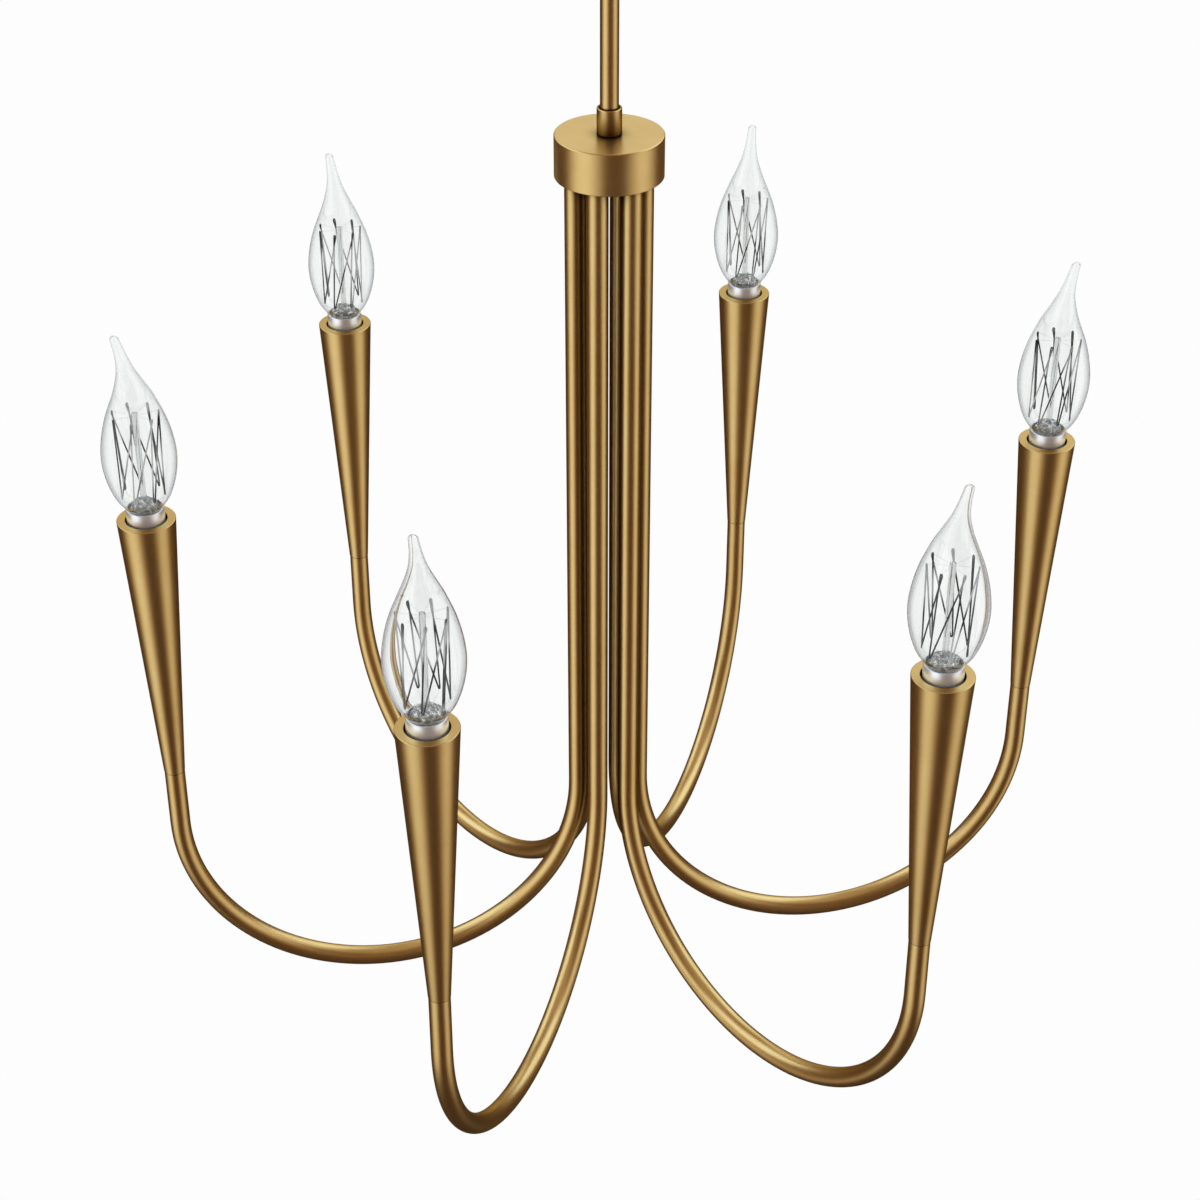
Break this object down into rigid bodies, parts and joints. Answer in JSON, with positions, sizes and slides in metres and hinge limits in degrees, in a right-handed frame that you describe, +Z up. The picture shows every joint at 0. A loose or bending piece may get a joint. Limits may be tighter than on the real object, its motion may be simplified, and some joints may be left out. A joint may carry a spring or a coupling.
{
  "type": "multi arm chandelier",
  "caption": "Brass candle chandelier: U-shaped arms hang from a small round hub on a down rod and rise to slim tapered cups with clear bent-tip candle bulbs.",
  "frame": {"origin": "centre of the ceiling mount, on the ceiling plane", "axes": "+Z up along the rod, away from the fixture; +X along one pair of opposite arms and along the crossbar"},
  "size_m": [0.5162, 0.4528, 0.8676],
  "materials": {
    "brass": "satin, antique brass tone",
    "steel": "zinc plated",
    "cap_metal": "satin",
    "clear_glass": "clear, polished",
    "stem_glass": "clear, slightly grey",
    "socket_plastic": "moulded phenolic",
    "insulation": "smooth insulation"
  },
  "bodies": {
    "ceiling_plate": {"crossbar": "steel", "canopy": "brass", "canopy_nipple": "steel", "canopy_locknut": "steel", "canopy_stud_1": "steel", "canopy_stud_2": "steel", "cap_nut_1": "brass", "cap_nut_2": "brass"},
    "swivel": {"swivel_yoke": "brass", "swivel_pin": "brass"},
    "fixture": {"swivel_knuckle": "brass", "down_rod": "brass", "rod_collar": "brass", "hub_cover": "brass", "hub_plate": "brass", "hub_nipple": "steel", "hub_locknut": "steel", "wiring_harness": "insulation", "arm_tube_1": "brass", "arm_nut_1": "steel", "candle_cup_1": "brass", "lamp_socket_1": "socket_plastic", "arm_tube_2": "brass", "arm_nut_2": "steel", "candle_cup_2": "brass", "lamp_socket_2": "socket_plastic", "arm_tube_3": "brass", "arm_nut_3": "steel", "candle_cup_3": "brass", "lamp_socket_3": "socket_plastic", "arm_tube_4": "brass", "arm_nut_4": "steel", "candle_cup_4": "brass", "lamp_socket_4": "socket_plastic", "arm_tube_5": "brass", "arm_nut_5": "steel", "candle_cup_5": "brass", "lamp_socket_5": "socket_plastic", "arm_tube_6": "brass", "arm_nut_6": "steel", "candle_cup_6": "brass", "lamp_socket_6": "socket_plastic"},
    "bulb_1": {"bulb_cap_1": "cap_metal", "bulb_glass_1": "clear_glass", "filament_mount_1": "stem_glass"},
    "bulb_2": {"bulb_cap_2": "cap_metal", "bulb_glass_2": "clear_glass", "filament_mount_2": "stem_glass"},
    "bulb_3": {"bulb_cap_3": "cap_metal", "bulb_glass_3": "clear_glass", "filament_mount_3": "stem_glass"},
    "bulb_4": {"bulb_cap_4": "cap_metal", "bulb_glass_4": "clear_glass", "filament_mount_4": "stem_glass"},
    "bulb_5": {"bulb_cap_5": "cap_metal", "bulb_glass_5": "clear_glass", "filament_mount_5": "stem_glass"},
    "bulb_6": {"bulb_cap_6": "cap_metal", "bulb_glass_6": "clear_glass", "filament_mount_6": "stem_glass"}
  },
  "joints": [
    {"name": "swivel_turn", "type": "hinge", "parent": "ceiling_plate", "child": "swivel", "pos_m": [0, 0, -0.03], "axis": [0, 0, 1], "range_deg": [-170, 170]},
    {"name": "swivel_tilt", "type": "hinge", "parent": "swivel", "child": "fixture", "pos_m": [0, 0, -0.039], "axis": [0, 1, 0], "range_deg": [-45, 45]},
    {"name": "bulb_1_out", "type": "slide", "parent": "fixture", "child": "bulb_1", "axis": [0, 0, 1], "range_m": [0, 0.035]},
    {"name": "bulb_2_out", "type": "slide", "parent": "fixture", "child": "bulb_2", "axis": [0, 0, 1], "range_m": [0, 0.035]},
    {"name": "bulb_3_out", "type": "slide", "parent": "fixture", "child": "bulb_3", "axis": [0, 0, 1], "range_m": [0, 0.035]},
    {"name": "bulb_4_out", "type": "slide", "parent": "fixture", "child": "bulb_4", "axis": [0, 0, 1], "range_m": [0, 0.035]},
    {"name": "bulb_5_out", "type": "slide", "parent": "fixture", "child": "bulb_5", "axis": [0, 0, 1], "range_m": [0, 0.035]},
    {"name": "bulb_6_out", "type": "slide", "parent": "fixture", "child": "bulb_6", "axis": [0, 0, 1], "range_m": [0, 0.035]}
  ]
}
